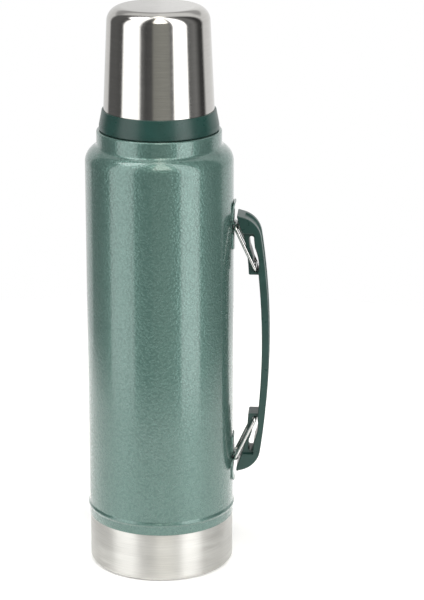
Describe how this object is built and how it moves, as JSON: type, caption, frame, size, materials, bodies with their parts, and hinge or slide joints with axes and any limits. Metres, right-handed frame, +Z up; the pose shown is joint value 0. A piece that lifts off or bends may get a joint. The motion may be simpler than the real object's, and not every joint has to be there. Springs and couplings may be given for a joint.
{
  "type": "vacuum flask",
  "caption": "Upright double-walled vacuum flask with painted jacket, bare steel base, screw-on drinking cup, screw stopper and a pull-out side handle on two wire bails.",
  "frame": {"origin": "on the flask's axis, in the plane that it stands on", "axes": "+Z up along the flask's axis, +X towards the handle"},
  "size_m": [0.1192, 0.0966, 0.37],
  "materials": {
    "paint": "hammertone semi-gloss",
    "bare_steel": "polished, brushed round",
    "inner_steel": "satin",
    "wire": "bright drawn wire",
    "trim": "satin moulded",
    "silicone": "matte",
    "foil": "bright foil",
    "pellet": "sintered",
    "foam": "closed cell"
  },
  "bodies": {
    "root": {"outer_shell": "paint", "base_cup": "bare_steel", "bottom_cover": "trim", "seal_plug": "inner_steel", "inner_vessel": "inner_steel", "vessel_neck": "inner_steel", "vessel_bottom": "inner_steel", "foil_wrap": "foil", "getter": "pellet", "neck_ring": "inner_steel", "upper_bracket": "paint", "lower_bracket": "paint"},
    "grip_body": {"grip": "trim"},
    "upper_loop": {"upper_bail": "wire"},
    "lower_loop": {"lower_bail": "wire"},
    "cup_seal": {"cup_gasket": "silicone"},
    "cup": {"cup_ring": "trim", "cup_shell": "bare_steel", "cup_liner": "inner_steel"},
    "stopper_seal": {"stopper_gasket": "silicone"},
    "stopper": {"stopper_body": "trim", "stopper_core": "foam", "stopper_cap": "trim", "stopper_oring": "silicone"}
  },
  "joints": [
    {"name": "cup_lift", "type": "slide", "parent": "root", "child": "cup_seal", "axis": [0, 0, 1], "range_m": [0, 0.08]},
    {"name": "cup_turn", "type": "hinge", "parent": "cup_seal", "child": "cup", "pos_m": [0, 0, 0.2916], "axis": [0, 0, 1], "range_deg": [0, 540]},
    {"name": "stopper_lift", "type": "slide", "parent": "root", "child": "stopper_seal", "axis": [0, 0, 1], "range_m": [0, 0.0375]},
    {"name": "stopper_turn", "type": "hinge", "parent": "stopper_seal", "child": "stopper", "pos_m": [0, 0, 0.308], "axis": [0, 0, 1], "range_deg": [0, 540]},
    {"name": "grip_pull", "type": "slide", "parent": "root", "child": "grip_body", "axis": [1, 0, 0], "range_m": [0, 0.017]},
    {"name": "upper_swing", "type": "hinge", "parent": "root", "child": "upper_loop", "pos_m": [0.0491, 0, 0.22881], "axis": [0, -1, 0], "range_deg": [0, 40]},
    {"name": "lower_swing", "type": "hinge", "parent": "root", "child": "lower_loop", "pos_m": [0.0491, 0, 0.07201], "axis": [0, 1, 0], "range_deg": [0, 40]}
  ],
  "couplings": [
    {"joint": "upper_swing", "follows": "grip_pull", "rad_per_m": 41.066},
    {"joint": "lower_swing", "follows": "grip_pull", "rad_per_m": 41.066}
  ]
}
